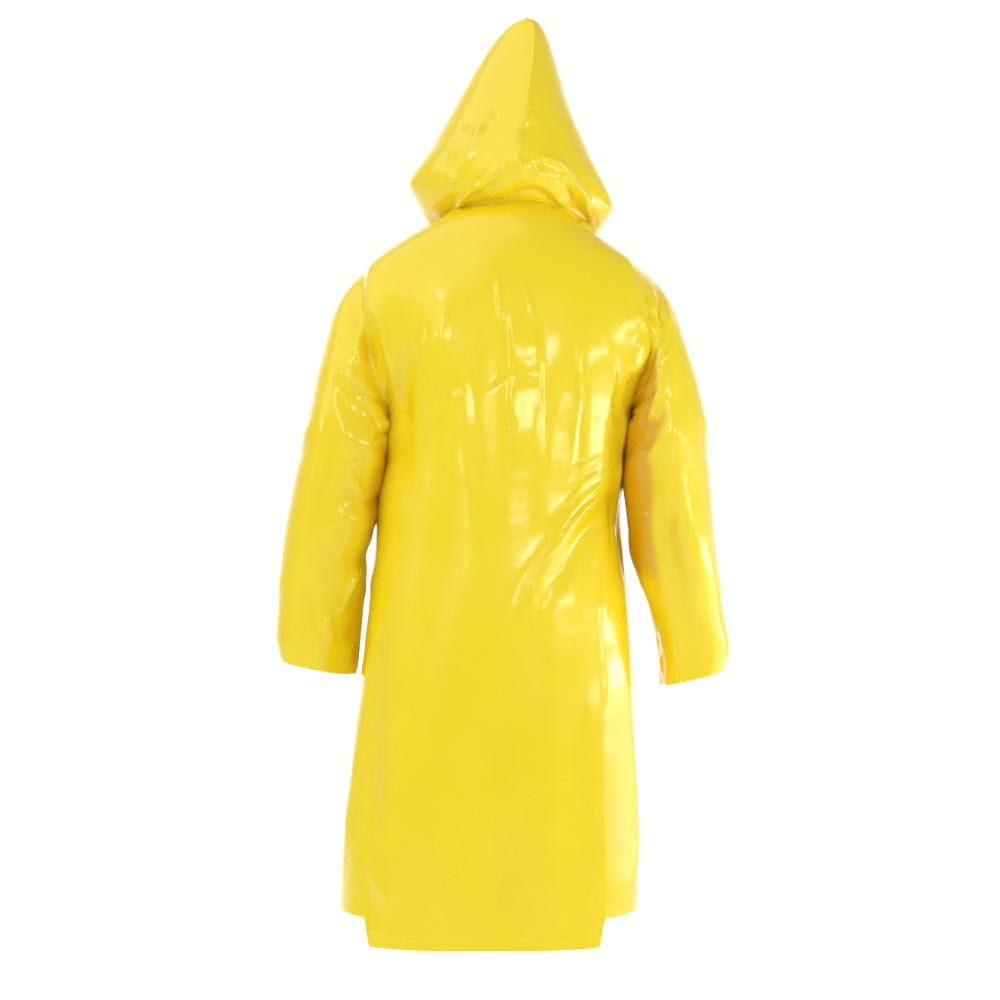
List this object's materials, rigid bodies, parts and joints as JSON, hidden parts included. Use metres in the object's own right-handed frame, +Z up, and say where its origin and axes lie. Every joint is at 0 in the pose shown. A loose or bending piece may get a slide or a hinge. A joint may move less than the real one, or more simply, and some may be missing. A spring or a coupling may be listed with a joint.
{
  "type": "hooded raincoat",
  "caption": "Long hooded raincoat of glossy coated cloth, worn form with no wearer: open neck, cuffs and hem, pointed hood tucked over the neckline, fronts lapped and snapped.",
  "frame": {"origin": "inside the neck, between the shoulders and level with the neckline at its sides, where the wearer holds the coat", "axes": "+Z up the coat towards the hood, +Y towards its back, +X towards the wearer's left"},
  "size_m": [0.74, 0.3334, 1.4389],
  "materials": {
    "coat_cloth": "glossy saturated yellow coating on thin cloth, lightly wrinkled",
    "snap": "moulded, satin, a shade darker than the cloth"
  },
  "bodies": {
    "root": {"back": "coat_cloth", "front_left": "coat_cloth", "front_right": "coat_cloth", "sleeve_left": "coat_cloth", "sleeve_right": "coat_cloth", "hood_left": "coat_cloth", "hood_right": "coat_cloth", "snap_1": "snap", "snap_2": "snap", "snap_3": "snap", "snap_4": "snap", "snap_5": "snap"}
  },
  "joints": []
}
